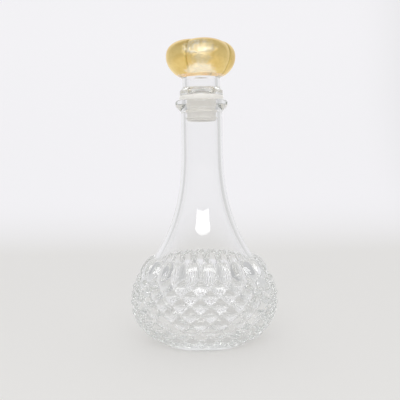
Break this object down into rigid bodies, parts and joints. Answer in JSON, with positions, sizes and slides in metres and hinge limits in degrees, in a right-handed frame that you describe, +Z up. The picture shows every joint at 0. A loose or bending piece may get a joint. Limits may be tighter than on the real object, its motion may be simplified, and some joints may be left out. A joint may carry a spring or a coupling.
{
  "type": "glass decanter",
  "caption": "Clear pressed-glass decanter with a diamond-moulded bulb, a long flared neck and a gilded lobed stopper that seats in the mouth through a finned plastic seal.",
  "frame": {"origin": "centre of the foot, on the surface that the bottle stands on", "axes": "+Z up along the bottle's axis, -Y towards the viewer of the picture, +X to the right"},
  "size_m": [0.1256, 0.1256, 0.2553],
  "materials": {
    "clear_glass": "clear, smooth, with a very slight green tint",
    "gold": "light gold film, mottled and worn thin in places",
    "seal_plastic": "translucent soft polyethylene"
  },
  "bodies": {
    "bottle": {"bottle": "clear_glass"},
    "seal": {"stopper_seal": "seal_plastic"},
    "stopper": {"stopper_glass": "clear_glass", "gold_coating": "gold"}
  },
  "joints": [
    {"name": "stopper_lift", "type": "slide", "parent": "bottle", "child": "seal", "axis": [0, 0, 1], "range_m": [0, 0.06]},
    {"name": "stopper_turn", "type": "hinge", "parent": "seal", "child": "stopper", "pos_m": [0, 0, 0.21], "axis": [0, 0, 1], "continuous": true}
  ]
}
